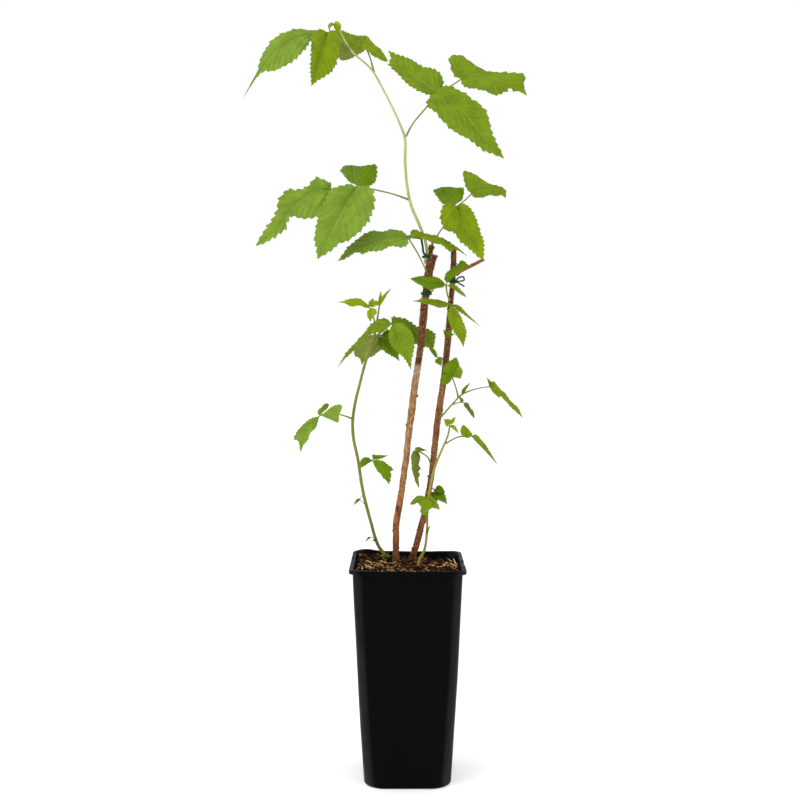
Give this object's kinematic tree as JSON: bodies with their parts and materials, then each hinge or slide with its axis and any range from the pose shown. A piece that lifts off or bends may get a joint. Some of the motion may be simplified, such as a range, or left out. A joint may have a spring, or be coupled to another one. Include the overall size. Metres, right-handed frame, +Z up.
{
  "type": "raspberry cane in a pot",
  "caption": "Young raspberry plant with woody canes, green shoots and toothed compound leaves, in a tall square black nursery pot of bark compost.",
  "frame": {"origin": "the middle of the pot's flat underside, on the surface that the pot stands on", "axes": "+Z is up, along the pot and the canes; +X is to the right as the plant's front is seen; the front faces -Y"},
  "size_m": [0.3153, 0.13, 0.858],
  "materials": {
    "black_plastic": "black plastic with a dull shine",
    "compost": "loose brown bark and wood fibre",
    "brown_bark": "reddish brown peeling bark",
    "green_stem": "yellow-green bristly stem",
    "leaf": "soft mid-green leaf",
    "young_leaf": "soft yellow-green young leaf",
    "green_twine": "dark green soft twine"
  },
  "bodies": {
    "root": {"pot": "black_plastic", "compost": "compost", "cane_left": "brown_bark", "cane_left_stub": "brown_bark", "cane_right": "brown_bark", "cane_right_twig": "brown_bark", "shoot_left_lower": "green_stem", "shoot_left_upper": "green_stem", "shoot_right": "green_stem", "shoot_tall_lower": "green_stem", "shoot_tall_upper": "green_stem", "lateral_right": "green_stem", "leaf_tip_left": "leaf", "leaf_tip_right": "leaf", "leaf_upper_right": "leaf", "leaf_middle_left": "leaf", "leaf_centre": "leaf", "leaf_middle_right": "leaf", "leaf_tied": "leaf", "leaf_right_cane": "leaf", "leaf_lateral": "leaf", "leaf_lateral_tip": "leaf", "leaf_lateral_low": "leaf", "leaf_shoot_right": "leaf", "leaf_low_centre": "leaf", "leaf_low_right": "leaf", "leaf_low_back": "leaf", "leaf_left_upper": "leaf", "leaf_left_under": "leaf", "leaf_left_middle": "leaf", "leaf_left_low": "leaf", "leaf_between": "leaf", "leaf_left_young": "young_leaf", "leaf_left_tip": "young_leaf", "leaf_shoot_right_tip": "young_leaf", "tip_bud": "young_leaf", "tie_tall_shoot": "green_twine", "tie_cane_left": "green_twine", "tie_cane_right": "green_twine"}
  },
  "joints": []
}
